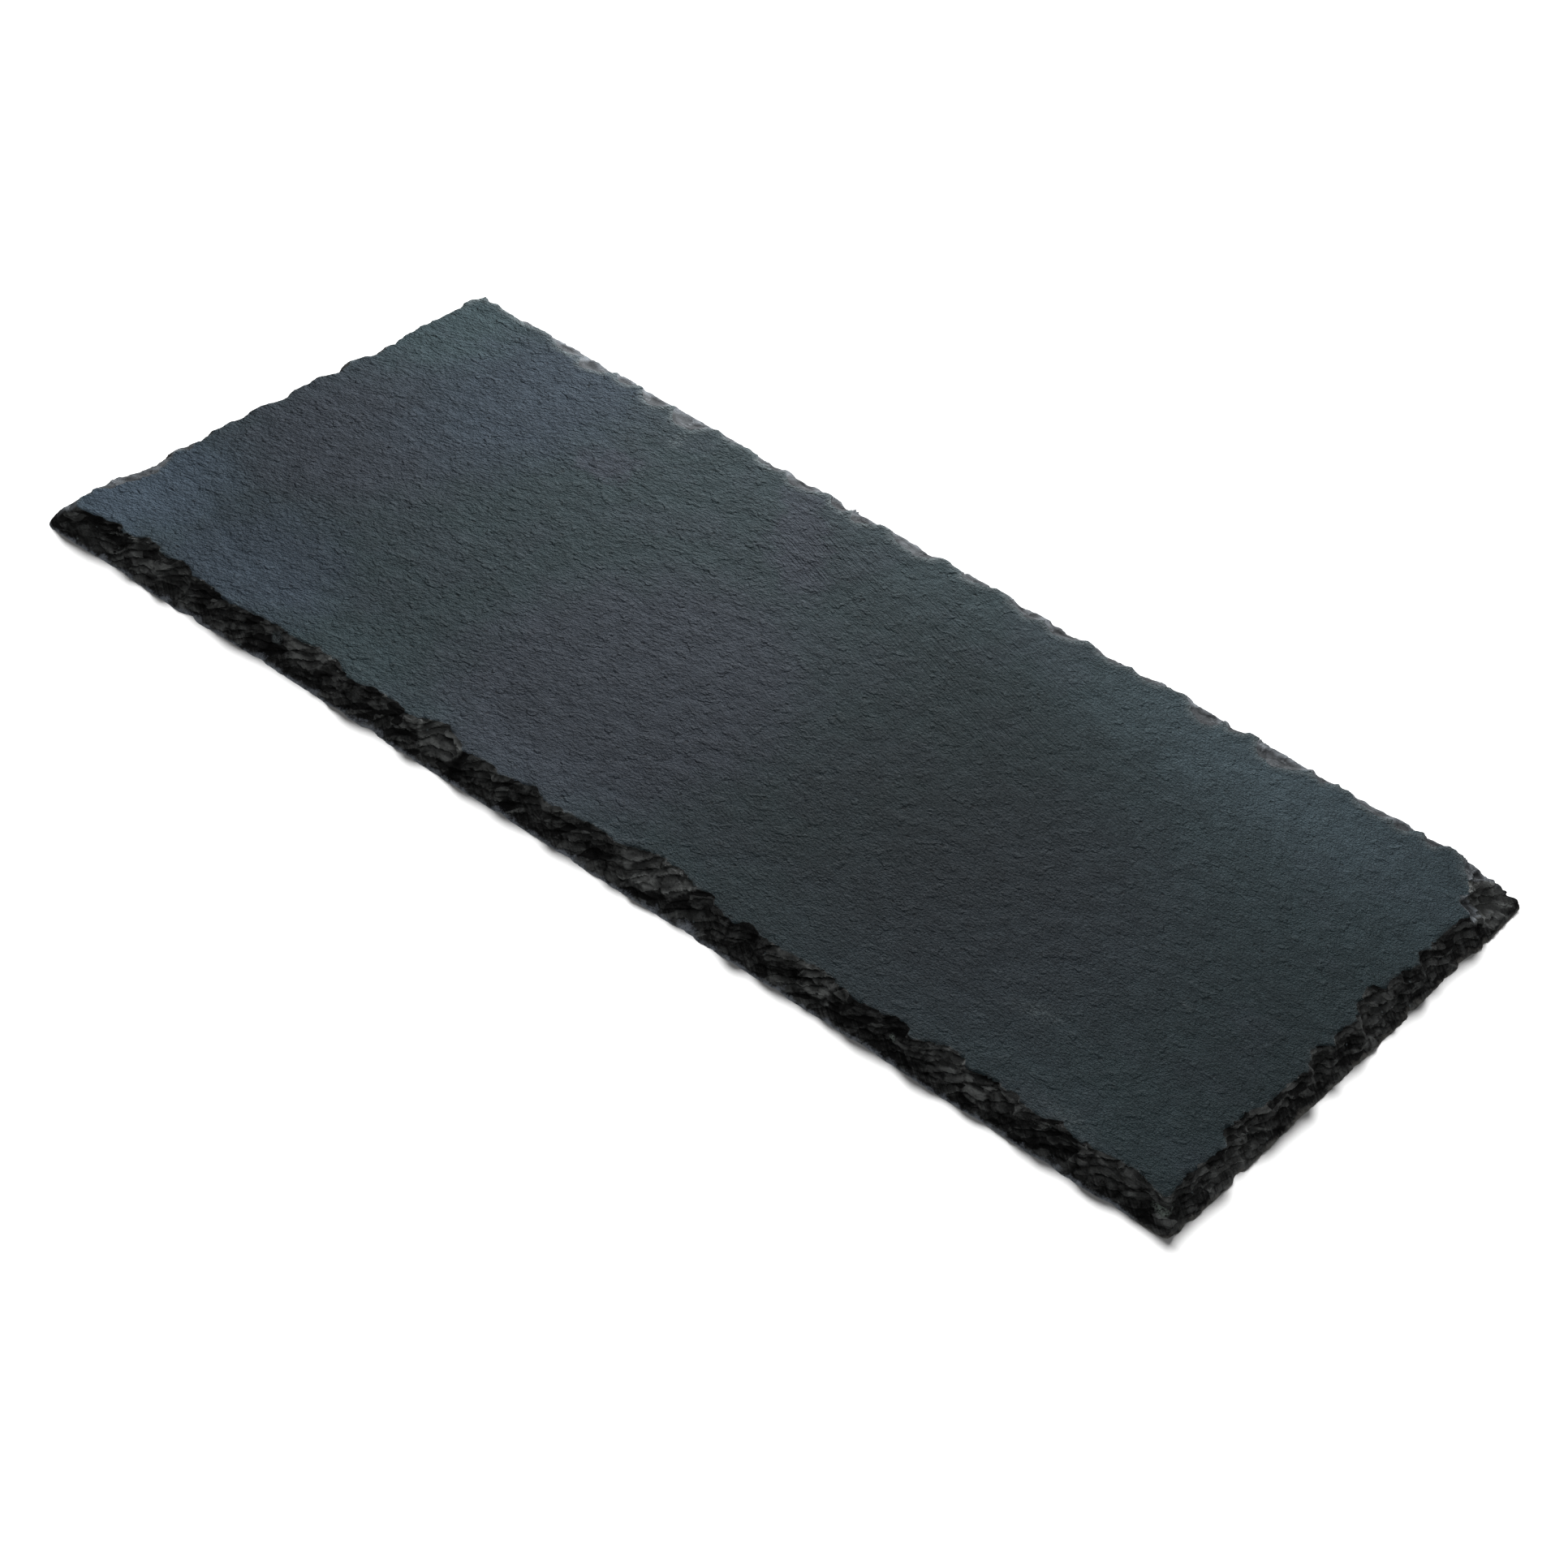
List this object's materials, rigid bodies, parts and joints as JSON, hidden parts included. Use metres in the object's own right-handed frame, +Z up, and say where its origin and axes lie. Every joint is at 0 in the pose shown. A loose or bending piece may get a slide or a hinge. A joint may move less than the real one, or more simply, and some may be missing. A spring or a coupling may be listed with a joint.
{
  "type": "slate slab",
  "caption": "Flat rectangular slab of dark grey slate with a riven upper face and a chipped, hand-dressed edge all round, lying on its flat underside.",
  "frame": {"origin": "middle of the slab's underside, where it rests", "axes": "+X along the long side, +Y across the slab away from the near long side, +Z up through its thickness to the riven face"},
  "size_m": [0.3995, 0.1995, 0.0089],
  "materials": {
    "slate": "matt riven face with near-black broken edges"
  },
  "bodies": {
    "root": {"slab": "slate"}
  },
  "joints": []
}
